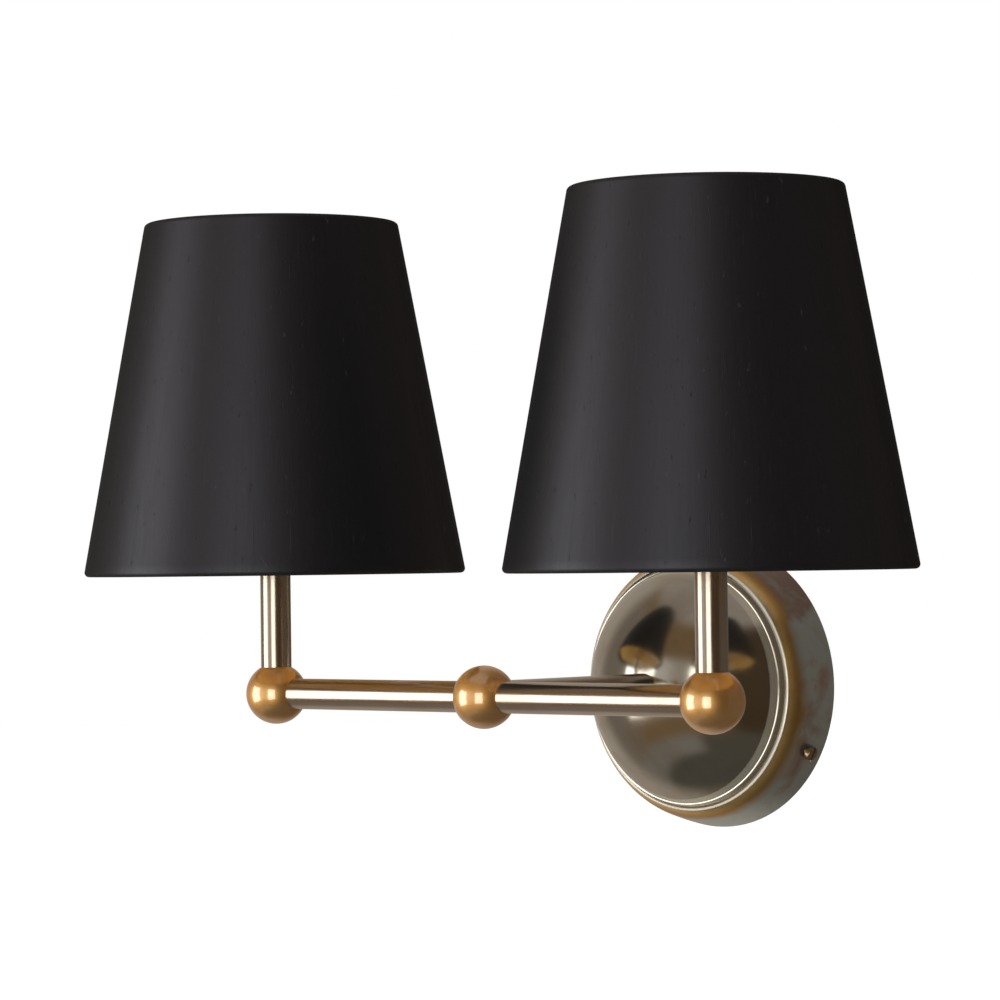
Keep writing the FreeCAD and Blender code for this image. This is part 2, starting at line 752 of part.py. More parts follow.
def lampholder(name, at):
    cap_r = dim("holder_cap_diameter") / 2
    cap_top, rounding = dim("holder_cap_height"), dim("holder_cap_round")
    foot_r = dim("holder_foot_diameter") / 2
    outline = [
        (tube_bore_r, 0),
        (foot_r, 0, rounding, 1),
        (cap_r, rounding),
        (cap_r, cap_top),
        (cap_r - dim("holder_cap_wall"), cap_top),
        (cap_r - dim("holder_cap_wall"), holder_floor),
        (tube_bore_r, holder_floor),
    ]
    keep(revolved(f"cap_{name}", outline, at), f"holder_cap_{name}")
    flange_r, top = dim("flange_diameter") / 2, dim("skirt_top")
    lip_r, lip_low = dim("skirt_lip_bore") / 2, dim("skirt_top") - dim("holder_cap_wall")
    outline = [
        (skirt_bore_r, cap_top),
        (skirt_r, cap_top),
        (skirt_r, dim("flange_underside")),
        (flange_r, dim("flange_underside")),
        (flange_r, flange_top),
        (skirt_r, flange_top),
        (skirt_r, top),
        (lip_r, top),
        (lip_r, lip_low),
        (skirt_bore_r, lip_low),
    ]
    keep(revolved(f"skirt_{name}", outline, at), f"holder_skirt_{name}")
    core_r, core_top = dim("core_diameter") / 2, dim("core_top")
    lead_r, lead_top = dim("core_lead_bore") / 2, holder_floor + dim("core_lead_depth")
    outline = [
        (lead_r, holder_floor),
        (core_r, holder_floor),
        (core_r, core_top),
        (0, core_top),
        (0, lead_top),
        (lead_r, lead_top),
    ]
    keep(revolved(f"core_{name}", outline, at), f"holder_core_{name}")
    shell_r = dim("screw_shell_bore") / 2
    shell_top = core_top + dim("screw_shell_height")
    shell_outer_r = shell_r + dim("screw_shell_wall")
    shell = pipe(f"shell_{name}", shell_outer_r, shell_r, core_top, shell_top, at)
    keep(shell, f"holder_screw_shell_{name}")
    stalk_r, plate_r = dim("contact_stalk_diameter") / 2, dim("contact_diameter") / 2
    plate_low = contact_top - dim("contact_plate")
    outline = [
        (0, core_top),
        (stalk_r, core_top),
        (stalk_r, plate_low),
        (plate_r, plate_low),
        (plate_r, contact_top),
        (0, contact_top),
    ]
    keep(revolved(f"contact_{name}", outline, at), f"holder_contact_{name}")


def bulb(name, at):
    cap_r = dim("screw_shell_bore") / 2 - dim("bulb_thread_play")
    cap_bore_r = cap_r - dim("bulb_cap_wall")
    tip_r = dim("bulb_tip_diameter") / 2
    tip_top = bulb_base + dim("bulb_tip_height")
    outline = [
        (0, bulb_base),
        (tip_r, bulb_base),
        (tip_r, tip_top),
        (dim("bulb_insulator_diameter") / 2, bulb_cap_base),
        (0, bulb_cap_base),
    ]
    keep(revolved(f"bulb_tip_{name}", outline, at), f"bulb_base_{name}")
    collar_r = dim("bulb_collar_diameter") / 2
    collar_bore_r = collar_r - dim("bulb_cap_wall")
    neck_r = dim("bulb_neck_diameter") / 2
    collar_top = bulb_cap_top + dim("bulb_collar_height")
    floor = bulb_cap_base + dim("bulb_cap_wall")
    outline = [
        (0, bulb_cap_base),
        (cap_r, bulb_cap_base),
        (cap_r, bulb_cap_top - dim("bulb_cap_wall")),
        (collar_r, bulb_cap_top - dim("bulb_cap_wall")),
        (collar_r, collar_top),
        (collar_bore_r, collar_top),
        (collar_bore_r, bulb_cap_top),
        (cap_bore_r, bulb_cap_top),
        (cap_bore_r, floor),
        (0, floor),
    ]
    keep(revolved(f"bulb_cap_blank_{name}", outline, at), f"bulb_cap_{name}")
    glass = dim("bulb_glass")
    globe_r, neck_top = dim("bulb_globe_diameter") / 2, glass_base + dim("bulb_neck_height")
    centre = neck_top + root(globe_r * globe_r - neck_r * neck_r)
    inner_neck_r, inner_globe_r = neck_r - glass, globe_r - glass
    inner_neck_top = centre - root(inner_globe_r * inner_globe_r - inner_neck_r * inner_neck_r)
    outline = [
        (inner_neck_r, glass_base),
        (neck_r, glass_base),
        (neck_r, neck_top, globe_r, 1),
        (globe_r, centre, globe_r, 1),
        (0, centre + globe_r),
        (0, centre + inner_globe_r, inner_globe_r, INWARD),
        (inner_globe_r, centre, inner_globe_r, INWARD),
        (inner_neck_r, inner_neck_top),
    ]
    keep(revolved(f"glass_{name}", outline, at), f"bulb_glass_{name}")
    mount_low = glass_base
    plate_low = mount_low + dim("bulb_mount_height")
    plate_top = plate_low + dim("bulb_mount_plate_thickness")
    stalk_r, plate_r = dim("bulb_mount_stalk") / 2, dim("bulb_mount_plate") / 2
    outline = [
        (0, mount_low),
        (inner_neck_r - dim("thread_play"), mount_low),
        (inner_neck_r - dim("thread_play"), mount_low + glass),
        (stalk_r, plate_low - stalk_r),
        (stalk_r, plate_low),
        (plate_r, plate_low),
        (plate_r, plate_top),
        (0, plate_top),
    ]
    keep(revolved(f"mount_{name}", outline, at), f"bulb_mount_{name}")
    rods = []
    for k in range(FILAMENTS):
        angle = FULL_TURN / FILAMENTS * k
        reach = dim("filament_circle") / 2
        place_at = (at[0] + reach * cosine(angle), at[1] + reach * sine(angle), at[2] + plate_top)
        radius, length = dim("filament_diameter") / 2, dim("filament_length")
        rods.append(cylinder(f"filament_{name}_{k}", radius, length, place_at))
    keep(grouped(f"filament_set_{name}", rods), f"bulb_filaments_{name}")


# ---------------------------------------------------------------- shades

fitter_height = flange_top + dim("fitter_gap")
shade_base = fitter_height - dim("fitter_recess")
ring_height = fitter_height + dim("fitter_thickness") + dim("fitter_gap")


def shade(name, at):
    base_r, top_r = dim("shade_base_diameter") / 2, dim("shade_top_diameter") / 2
    hem, cloth, height = dim("hem_radius"), dim("shade_cloth"), dim("shade_height")
    hem_bore = hem - cloth
    low, high, back = hem, height - hem, dim("hem_return")
    foot = (at[0], at[1], at[2] + shade_base)
    # The cloth runs up the cone and is rolled round a wire at both ends.
    outline = [
        (base_r, low),
        (top_r, high, hem, 1),
        (top_r - hem, height, hem, 1),
        (top_r - hem * 2, high),
        (top_r - hem * 2, high - back),
        (top_r - hem * 2 + cloth, high - back),
        (top_r - hem * 2 + cloth, high, hem_bore, INWARD),
        (top_r - hem, height - cloth, hem_bore, INWARD),
        (top_r - cloth, high),
        (base_r - cloth, low, hem_bore, INWARD),
        (base_r - hem, cloth, hem_bore, INWARD),
        (base_r - hem * 2 + cloth, low),
        (base_r - hem * 2 + cloth, low + back),
        (base_r - hem * 2, low + back),
        (base_r - hem * 2, low, hem, 1),
        (base_r - hem, 0, hem, 1),
    ]
    keep(revolved(f"cloth_{name}", outline, foot), f"shade_cloth_{name}")
    wire = hem_bore - dim("hem_wire_play")
    for end, radius, level in (("top", top_r, high), ("bottom", base_r, low)):
        torus = doc.addObject("Part::Torus", f"{end}_hoop_{name}")
        bind(torus, "Radius1", radius - hem)
        bind(torus, "Radius2", wire)
        place(torus, (foot[0], foot[1], foot[2] + level))
        keep(torus, f"shade_{end}_wire_{name}")
    # The liner is a cone just inside the cloth, between the two hems' wires.
    slope = (base_r - top_r) / (high - low)
    liner_low, liner_high = low + hem, high - hem
    outer_low = base_r - cloth - dim("liner_play") - (liner_low - low) * slope
    outer_high = base_r - cloth - dim("liner_play") - (liner_high - low) * slope
    liner = dim("liner_thickness")
    outline = [
        (outer_low - liner, liner_low),
        (outer_low, liner_low),
        (outer_high, liner_high),
        (outer_high - liner, liner_high),
    ]
    keep(revolved(f"lining_{name}", outline, foot), f"shade_liner_{name}")
    fitter_r = dim("fitter_diameter") / 2
    fitter_low = fitter_height
    fitter_top = fitter_height + dim("fitter_thickness")
    fitter = pipe(f"fitter_{name}", fitter_r, dim("fitter_bore") / 2, fitter_low, fitter_top, at)
    keep(fitter, f"shade_fitter_{name}")
    spoke_r = dim("spoke_diameter") / 2
    start_height = fitter_height + dim("fitter_thickness") / 2
    end_height = shade_base + dim("spoke_end_height")
    run = base_r - hem * 2 - fitter_r
    tilt = math.degrees(math.atan2((start_height - end_height).number, run.number))
    lean = spoke_r * sine(tilt)
    start_r, end_r = fitter_r + lean, base_r - hem * 2 - lean - dim("spoke_end_gap")
    fall = start_height - end_height
    length = root((end_r - start_r) * (end_r - start_r) + fall * fall)
    spokes = []
    for k in range(SPOKES):
        angle = 90 + THIRD_TURN * k
        away = Vector(math.cos(math.radians(angle)), math.sin(math.radians(angle)), 0)
        heading = away * (end_r - start_r).number + Vector(0, 0, -fall.number)
        spoke_at = (
            at[0] + start_r * cosine(angle),
            at[1] + start_r * sine(angle),
            at[2] + start_height,
        )
        turn = Rotation(Vector(0, 0, 1), heading)
        spokes.append(cylinder(f"spoke_{name}_{k}", spoke_r, length, spoke_at, turn))
    keep(grouped(f"spoke_set_{name}", spokes), f"shade_spokes_{name}")


def shade_ring(name, at):
    bore_r = skirt_r + dim("shade_ring_play")
    ring_r, chamfer = dim("shade_ring_diameter") / 2, dim("shade_ring_chamfer")
    low, high = ring_height, ring_height + dim("shade_ring_height")
    outline = [
        (bore_r, low),
        (ring_r - chamfer, low),
        (ring_r, low + chamfer),
        (ring_r, high - chamfer),
        (ring_r - chamfer, high),
        (bore_r, high),
    ]
    keep(revolved(f"clamp_ring_{name}", outline, at), f"shade_ring_{name}")


# ---------------------------------------------------------------- leads


def lead_solid(points, bends, radius):
    """A round lead along straight runs joined by tangent arcs, one bend for each inner point."""
    edges, start = [], points[0]
    for k, bend in enumerate(bends, start=1):
        before = (points[k - 1] - points[k]).normalize()
        after = (points[k + 1] - points[k]).normalize()
        turn = math.pi - before.getAngle(after)
        reach = bend * math.tan(turn / 2)
        first, last = points[k] + before * reach, points[k] + after * reach
        inward = (before + after).normalize()
        centre = points[k] + inward * (bend / math.cos(turn / 2))
        middle = centre - inward * bend
        edges.append(Part.LineSegment(start, first).toShape())
        edges.append(Part.Arc(first, middle, last).toShape())
        start = last
    edges.append(Part.LineSegment(start, points[-1]).toShape())
    path = Part.Wire(edges)
    heading = (points[1] - points[0]).normalize()
    section = Part.Wire(Part.Circle(points[0], heading, radius).toShape())
    return path.makePipeShell([section], True, False)


def vector(*values):
    return Vector(*[as_size(value).number for value in values])


def arm_lead(side, polarity):
    """One arm's live (-1) or neutral (+1) lead, from its lampholder to the terminal block."""
    radius = (dim("lead_diameter") / 2).number
    offset, row = dim("lead_side_offset"), -side * dim("lead_row_offset")
    post_x = half_spacing * side
    stem_x = offset * polarity
    bar_line = bar_y + offset * polarity * side
    holder_end = post_top + holder_floor + dim("core_lead_depth") - dim("thread_play")
    stack = dim("lead_stack") / 2 * side
    way_x = dim("way_pitch") * polarity
    way_y = -dim("bracket_thickness") - dim("way_above_bracket") - stack
    drop = -dim("lead_drop_start") - stack
    block_end = dim("block_height") / 2 - dim("block_drop") - dim("lead_into_way")
    points = [
        vector(post_x, bar_line, holder_end),
        vector(post_x, bar_line, row),
        vector(stem_x, bar_line, row),
        vector(stem_x, -dim("lead_exit_depth"), row),
        vector(way_x, way_y, drop),
        vector(way_x, way_y, block_end),
    ]
    ball_turn = dim("lead_turn_in_ball").number
    outside, at_block = dim("lead_turn_outside").number, dim("lead_turn_at_block").number
    return lead_solid(points, [ball_turn, ball_turn, outside, at_block], radius)


def leads():
    for polarity, name in ((-1, "live_leads"), (1, "neutral_leads")):
        pair = doc.addObject("Part::Feature", name)
        pair.Shape = Part.makeCompound([arm_lead(side, polarity) for side in (-1, 1)])
        keep(pair, name)
    radius = (dim("lead_diameter") / 2).number
    level = washer_r + (dim("earth_tag_length") - washer_r) / 2
    way_y = -dim("bracket_thickness") - dim("way_above_bracket")
    block_end = dim("block_height") / 2 - dim("block_drop") - dim("lead_into_way")
    points = [
        vector(0, -nut_seat, -level),
        vector(0, way_y, -level),
        vector(0, way_y, block_end),
    ]
    earth = doc.addObject("Part::Feature", "earth_lead")
    earth.Shape = lead_solid(points, [dim("lead_turn_at_block").number], radius)
    keep(earth, "earth_lead")


# ---------------------------------------------------------------- the whole sconce

wall_bracket()
bracket_earth_screw()
terminal_block()
backplate_cover()
cover_screws()
stem_fixing()
tubes()
balls()
joint_nipples()
for side_sign, side_name in ((-1, "left"), (1, "right")):
    lamp_foot = (half_spacing * side_sign, bar_y, post_top)
    lampholder(side_name, lamp_foot)
    bulb(side_name, lamp_foot)
    shade(side_name, lamp_foot)
    shade_ring(side_name, lamp_foot)
leads()
doc.recompute()

for thing in doc.Objects:
    if "Invalid" in thing.State or "Error" in thing.State:
        raise RuntimeError(f"{thing.Label} did not compute: {thing.State}")
for piece in PARTS:
    if piece.Shape.isNull() or not piece.Shape.isValid() or not piece.Shape.Solids:
        raise RuntimeError(f"{piece.Label} is not a valid solid")
os.makedirs("parts", exist_ok=True)
for piece in PARTS:
    piece.Shape.exportStep(f"parts/{piece.Label}.step")
print(f"{len(PARTS)} pieces")
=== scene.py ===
"""Looks of a double arm wall sconce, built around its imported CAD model. Lengths are in metres.

The frame is the CAD model's: +X runs along the bar, +Y into the wall and +Z up.
"""

import json
import math

import bmesh
import bpy
from mathutils import Matrix, Vector


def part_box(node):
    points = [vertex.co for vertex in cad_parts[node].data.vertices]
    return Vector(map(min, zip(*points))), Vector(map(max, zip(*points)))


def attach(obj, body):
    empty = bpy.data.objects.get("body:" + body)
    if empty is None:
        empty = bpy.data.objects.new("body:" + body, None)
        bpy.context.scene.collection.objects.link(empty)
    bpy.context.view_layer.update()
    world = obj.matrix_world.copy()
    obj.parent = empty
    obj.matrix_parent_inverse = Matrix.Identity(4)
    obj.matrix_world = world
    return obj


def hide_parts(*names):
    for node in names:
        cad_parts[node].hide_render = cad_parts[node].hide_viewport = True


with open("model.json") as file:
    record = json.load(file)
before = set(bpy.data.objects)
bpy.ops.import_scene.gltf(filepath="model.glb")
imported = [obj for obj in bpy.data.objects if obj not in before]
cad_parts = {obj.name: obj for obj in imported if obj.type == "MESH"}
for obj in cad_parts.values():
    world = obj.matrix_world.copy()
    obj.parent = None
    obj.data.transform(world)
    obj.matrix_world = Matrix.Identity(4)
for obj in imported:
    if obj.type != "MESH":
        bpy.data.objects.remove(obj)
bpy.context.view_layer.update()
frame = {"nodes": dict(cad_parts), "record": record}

MM = 0.001
SIDES = (("left", -1), ("right", 1))
FULL_TURN = 2 * math.pi
WHITE = (1.0, 1.0, 1.0)

# Shade, as in the CAD model
SHADE_BASE_R = 75.1 * MM
SHADE_TOP_R = 50.3 * MM
SHADE_HEIGHT = 139.0 * MM
SHADE_CLOTH = 0.6 * MM
HEM = 1.8 * MM
HEM_RETURN = 6.0 * MM

# The cloth's own finer points
CLOTH_STEPS = 288
CLOTH_ROWS = 48
HEM_STEPS = 10
SWELL = 0.05 * MM
SEAM_OVERLAP = 8.0 * MM
SEAM_RISE = 0.35 * MM
SEAM_FROM_BACK_DEGREES = 12

# Zones of the backplate, as distances from its axis. A pair is where a change starts and ends
# The foot's painted sheen: where it starts, where it turns more metallic and where it ends
FOOT_START = (0.0450, 0.0458)
FOOT_BRIGHTENS = (0.0474, 0.0477)
FOOT_END = (0.0496, 0.0500)
# Where the two painted highlight lines run round the backplate, and how fast they fade
INNER_LINE = 0.0474
OUTER_LINE = 0.0496
LINE_FADE = (0.00025, 0.0006)
SATIN_START = (0.0486, 0.0504)
SHOULDER_START = (0.0492, 0.0508)
SHOULDER_DARKENS = (0.0504, 0.0530)
RIM_START = (0.0525, 0.0550)
ZONE_WOBBLE = 0.004

# Skins: the depth of fine relief
METAL_SKIN = 0.01 * MM
MOULDED_SKIN = 0.02 * MM
FILAMENT_SKIN = 0.03 * MM
GLASS_SKIN = 0.05 * MM
CLOTH_SKIN = 0.12 * MM

# The span that most of a noise's values lie in
MOST = (0.3, 0.7)

# Meshes
MERGE_WITHIN = 1e-7
DEGENERATE_BELOW = 1e-8
CREASE_DEGREES = 32.0

# Stage
FLOOR_Z = -1.7
FLOOR_R = 40
FLOOR_STEPS = 96
LAMPS_CENTRE = Vector((0.0, -0.146, 0.05))
WINDOW_COLOUR = (1.0, 0.975, 0.94)
WINDOW_ELEVATION_DEGREES = -3.0

# The photograph's camera, found from where the balls, shades and backplate are in it
CAMERA_AT = (0.956822, -1.262808, 0.052853)
CAMERA_DEGREES = {"azimuth": 40.32, "pitch": 0.838, "roll": -0.707}
LENS_MM = 140.175
SENSOR_MM = 36.0


# ---------------------------------------------------------------- nodes


class Nodes:
    """The node tree of a material or a world, with short calls for its nodes."""

    def __init__(self, owner, output, shader, place):
        owner.use_nodes = True
        self.tree = owner.node_tree
        self.tree.nodes.clear()
        out = self.node(output)
        self.surface = self.node(shader)
        self.feed(out.inputs["Surface"], self.surface.outputs[0])
        self.place = self.node("ShaderNodeTexCoord").outputs[place]

    def node(self, kind, **settings):
        made = self.tree.nodes.new(kind)
        for name, value in settings.items():
            setattr(made, name, value)
        return made

    def feed(self, socket, value):
        if isinstance(value, bpy.types.NodeSocket):
            self.tree.links.new(value, socket)
        else:
            socket.default_value = value

    def math(self, operation, *values):
        made = self.node("ShaderNodeMath", operation=operation)
        for socket, value in zip(made.inputs, values):
            self.feed(socket, value)
        return made.outputs[0]

    def add(self, first, second):
        return self.math("ADD", first, second)

    def times(self, first, second):
        return self.math("MULTIPLY", first, second)

    def less(self, first, second):
        return self.math("SUBTRACT", first, second)

    def between(self, value, span, result=(0.0, 1.0)):
        """Maps a value from one span to another, smoothly, and no further. A span may fall."""
        made = self.node("ShaderNodeMapRange", interpolation_type="SMOOTHSTEP")
        for socket, number in zip(made.inputs, (value, *span, *result)):
            self.feed(socket, number)
        return made.outputs[0]

    def mixed(self, share, first, second):
        """A colour between two, each a socket or three numbers."""
        made = self.node("ShaderNodeMix", data_type="RGBA")
        sockets = [made.inputs[0], made.inputs[6], made.inputs[7]]
        for socket, value in zip(sockets, (share, first, second)):
            self.feed(socket, (*value, 1.0) if isinstance(value, tuple) else value)
        return made.outputs[2]

    def parts(self):
        """The place's three parts: x, y and z."""
        made = self.node("ShaderNodeSeparateXYZ")
        self.feed(made.inputs[0], self.place)
        return made.outputs[0:3]


class Finish(Nodes):
    """A procedural material. Values that are the same all over go on the shader's own sockets."""

    def __init__(self, name, **even):
        self.material = bpy.data.materials.new(name)
        output, shader = "ShaderNodeOutputMaterial", "ShaderNodeBsdfPrincipled"
        super().__init__(self.material, output, shader, "Object")
        for socket, value in even.items():
            self.feed(self.surface.inputs[socket.replace("_", " ")], value)

    def stretched(self, scale, source=None):
        """The place on the surface, in steps of its own along each axis."""
        made = self.node("ShaderNodeMapping")
        self.feed(made.inputs["Vector"], source or self.place)
        self.feed(made.inputs["Scale"], scale)
        return made.outputs[0]

    def noise(self, scale, detail=4.0, roughness=0.55, distortion=0.0, source=None):
        made = self.node("ShaderNodeTexNoise")
        self.feed(made.inputs["Vector"], source or self.place)
        self.feed(made.inputs["Scale"], scale)
        self.feed(made.inputs["Detail"], detail)
        self.feed(made.inputs["Roughness"], roughness)
        self.feed(made.inputs["Distortion"], distortion)
        return made.outputs["Fac"]

    def colour(self, value):
        self.feed(self.surface.inputs["Base Color"], value)

    def gloss(self, value):
        self.feed(self.surface.inputs["Roughness"], value)

    def relief(self, height, depth, strength):
        made = self.node("ShaderNodeBump")
        self.feed(made.inputs["Strength"], strength)
        self.feed(made.inputs["Distance"], depth)
        self.feed(made.inputs["Height"], height)
        self.feed(self.surface.inputs["Normal"], made.outputs[0])


# ---------------------------------------------------------------- metals


def polished_tube(name, along):
    """Polished, aged tube: a clean pale bronze with fine marks along it and faint clouds."""
    pale, aged = (0.60, 0.525, 0.44), (0.50, 0.41, 0.31)
    marks_across, marks_along = 2600.0, 55.0
    f = Finish(name, Metallic=1.0)
    clouds = f.noise(26.0, roughness=0.5, distortion=0.3)
    fine = f.noise(420.0, detail=3.0)
    tone = f.between(f.add(clouds, f.times(fine, 0.15)), (0.50, 0.80), (0.0, 0.6))
    f.colour(f.mixed(tone, pale, aged))
    scale = [marks_across] * 3
    scale["xyz".index(along)] = marks_along
    marks = f.noise(1.0, detail=3.0, roughness=0.6, source=f.stretched(scale))
    f.gloss(f.between(f.add(clouds, marks), (0.7, 1.35), (0.17, 0.25)))
    f.relief(marks, METAL_SKIN, 0.25)
    return f.material


def bronze_ball():
    """Satin golden bronze under a thin clear lacquer."""
    light, dark = (1.0, 0.58, 0.18), (0.90, 0.48, 0.13)
    f = Finish("bronze_ball", Metallic=1.0, Coat_Weight=1.0, Coat_Roughness=0.11, Coat_IOR=2.7)
    clouds = f.noise(60.0, distortion=0.3)
    fine = f.noise(1500.0, detail=3.0, roughness=0.7)
    f.colour(f.mixed(f.between(f.add(clouds, f.times(fine, 0.2)), (0.45, 0.85)), light, dark))
    f.gloss(f.between(clouds, MOST, (0.44, 0.52)))
    f.relief(f.noise(900.0, detail=3.0, roughness=0.6), METAL_SKIN, 0.12)
    return f.material


def dome_tone(f, clouds):
    """Pale bronze, browner in clouds."""
    pale, brown = (0.57, 0.55, 0.475), (0.475, 0.44, 0.35)
    return f.mixed(f.between(clouds, (0.40, 0.68)), pale, brown)


def shoulder_tone(f, reach, fine):
    """Golden beside the dome, browner towards the rim."""
    light_gold, deep_gold, brown = (1.0, 0.72, 0.32), (0.92, 0.60, 0.22), (0.56, 0.34, 0.11)
    gold = f.mixed(f.between(fine, (0.35, 0.7)), light_gold, deep_gold)
    return f.mixed(f.between(reach, SHOULDER_DARKENS), gold, brown)


def rim_tone(f, z, fine):
    """Heat tints: brown above and greenish grey lower down, with rusty patches."""
    brown, grey, dark_grey = (0.46, 0.345, 0.29), (0.58, 0.64, 0.61), (0.50, 0.55, 0.49)
    rusty = (0.56, 0.34, 0.25)
    greyer_per_metre = 3.0
    tints = f.noise(30.0, detail=3.0, roughness=0.6, distortion=1.2)
    low_down = f.less(tints, f.times(z, greyer_per_metre))
    rim = f.mixed(f.between(low_down, (0.38, 0.60)), brown, grey)
    rim = f.mixed(f.between(fine, (0.52, 0.70), (0.0, 0.5)), rim, dark_grey)
    patches = f.noise(50.0, detail=5.0, roughness=0.7, distortion=0.6)
    return f.mixed(f.between(patches, (0.55, 0.70), (0.0, 0.8)), rim, rusty)


def backplate_brass():
    """Polished dark antique brass: a dome, its foot between two painted highlight lines, shoulder and
    rim. The foot's pale, less metallic band is a painted sheen.
    """
    foot_sheen_tone = (0.62, 0.59, 0.47)
    # Painted highlights: two bright lines where the dome's step edges catch the light, each at its
    # distance from the axis, with its tone and metallic
    painted_highlight_lines = ((INNER_LINE, (0.66, 0.63, 0.55), 0.90), (OUTER_LINE, (1.0, 0.98, 0.86), 0.62))
    f = Finish("backplate_brass")
    x, _, z = f.parts()
    reach = f.math("SQRT", f.add(f.times(x, x), f.times(z, z)))
    clouds = f.noise(32.0, detail=5.0, roughness=0.6, distortion=0.8)
    fine = f.noise(260.0, roughness=0.65)
    wobble = f.add(reach, f.times(f.less(clouds, 0.5), ZONE_WOBBLE))
    shoulder = shoulder_tone(f, reach, fine)
    tone = f.mixed(f.between(wobble, SHOULDER_START), dome_tone(f, clouds), shoulder)
    tone = f.mixed(f.between(wobble, RIM_START), tone, rim_tone(f, z, fine))
    # Painted sheen: a pale olive band round the foot of the dome
    foot = f.between(reach, FOOT_START)
    foot_sheen_band = f.times(foot, f.between(reach, FOOT_END, (1.0, 0.0)))
    tone = f.mixed(foot_sheen_band, tone, foot_sheen_tone)

    # Painted sheen and highlights: the foot, and above all its two lines, are paler and less like bare
    # metal, so they light up as bright rings under the white light all round
    metallic = f.between(reach, FOOT_BRIGHTENS, (0.86, 0.97))
    for line_reach, highlight_tone, highlight_metallic in painted_highlight_lines:
        off = f.math("ABSOLUTE", f.less(reach, line_reach))
        tone = f.mixed(f.between(off, LINE_FADE, (1.0, 0.0)), tone, highlight_tone)
        metallic = f.math("MINIMUM", metallic, f.between(off, LINE_FADE, (highlight_metallic, 1.0)))
    on_dome = f.between(foot, (0.0, 1.0), (1.0, 0.0))
    f.feed(f.surface.inputs["Metallic"], f.math("MAXIMUM", metallic, on_dome))
    f.colour(tone)

    marks = f.noise(900.0, roughness=0.7)
    rough = f.between(clouds, (0.3, 0.75), (0.10, 0.17))
    satin = f.between(reach, SATIN_START, (0.0, 0.16))
    f.gloss(f.add(rough, f.add(satin, f.times(marks, 0.05))))
    f.relief(f.add(f.times(fine, 0.6), marks), METAL_SKIN, 0.25)
    return f.material


def plain_metal(name, light, dark, gloss, scale=120.0, metallic=1.0):
    """Slightly clouded metal. Its gloss is its lowest and its highest roughness."""
    f = Finish(name, Metallic=metallic)
    clouds = f.noise(scale, detail=5.0, roughness=0.65, distortion=0.3)
    f.colour(f.mixed(f.between(clouds, (0.35, 0.7)), light, dark))
    f.gloss(f.between(f.noise(scale * 6, detail=3.0), MOST, gloss))
    f.relief(f.noise(scale * 5, detail=3.0), METAL_SKIN, 0.12)
    return f.material


# ---------------------------------------------------------------- other materials


def moulded(name, light, dark, rough, scale=300.0):
    """Moulded, fired or coated stuff: a slight unevenness of tone, and a fine skin."""
    spread = 0.06
    f = Finish(name)
    f.colour(f.mixed(f.between(f.noise(scale * 0.2), MOST), light, dark))
    f.gloss(f.between(f.noise(scale, detail=3.0), MOST, (rough - spread, rough + spread)))
    f.relief(f.noise(scale * 5, detail=3.0, roughness=0.6), MOULDED_SKIN, 0.4)
    return f.material


def silk_tone(f, weave, slubs, nubs, pits):
    """Nearly black: the threads differ a little and thick ones are paler. The pits between threads are
    painted darker, a painted shade in them.
    """
    black, grey = (0.0004, 0.0005, 0.0007), (0.0010, 0.0012, 0.0016)
    slub_grey, nub_grey, painted_gap_shade = (0.007, 0.0072, 0.008), (0.014, 0.0138, 0.014), (0.0002, 0.0002, 0.0003)
    tone = f.mixed(f.between(weave, (0.35, 0.68)), black, grey)
    tone = f.mixed(f.times(slubs, 0.4), tone, slub_grey)
    tone = f.mixed(f.times(nubs, 0.8), tone, nub_grey)
    return f.mixed(pits, tone, painted_gap_shade)


def black_silk():
    """Black slubbed silk. Its UV map runs round and up the shade, in metres."""
    tint = (0.83, 0.855, 1.0, 1.0)
    f = Finish("black_silk", Specular_Tint=tint, Anisotropic=0.4, Anisotropic_Rotation=0.25)
    cloth = f.node("ShaderNodeUVMap", uv_map="cloth").outputs[0]

    def threads(per_metre_round, per_metre_up, detail=3.0):
        counts = (per_metre_round, per_metre_up, 1.0)
        return f.noise(1.0, detail, 0.65, source=f.stretched(counts, cloth))

    weave = f.add(f.times(threads(2300.0, 70.0), 0.6), f.times(threads(60.0, 2100.0), 0.4))
    slubs = f.between(threads(900.0, 34.0, 2.0), (0.62, 0.80))
    nubs = f.between(threads(330.0, 150.0, 2.0), (0.66, 0.76))
    # Pits: recesses between the threads, sunk in the relief and painted darker as shade
    pits = f.between(threads(420.0, 170.0, 2.0), (0.34, 0.27))
    f.colour(silk_tone(f, weave, slubs, nubs, pits))

    hatch = threads(520.0, 22.0)
    clouds = f.noise(16.0, roughness=0.6, distortion=0.4)
    uneven = f.add(f.times(hatch, 0.6), f.times(clouds, 0.4))
    smooth = f.add(f.between(uneven, (0.35, 0.65), (0.47, 0.535)), f.times(pits, 0.2))
    height = f.add(weave, f.times(f.math("MAXIMUM", slubs, nubs), 0.9))
    f.relief(f.less(height, pits), CLOTH_SKIN, 0.35)

    # Towards its outline, cloth scatters light more and mirrors it less
    edge = f.node("ShaderNodeLayerWeight").outputs["Facing"]
    f.gloss(f.add(smooth, f.between(edge, (0.45, 0.95), (0.0, 0.40))))
    f.feed(f.surface.inputs["Specular IOR Level"], f.between(edge, (0.15, 0.75), (0.95, 0.40)))
    around = f.node("ShaderNodeTangent", direction_type="UV_MAP", uv_map="cloth")
    f.feed(f.surface.inputs["Tangent"], around.outputs[0])
    return f.material


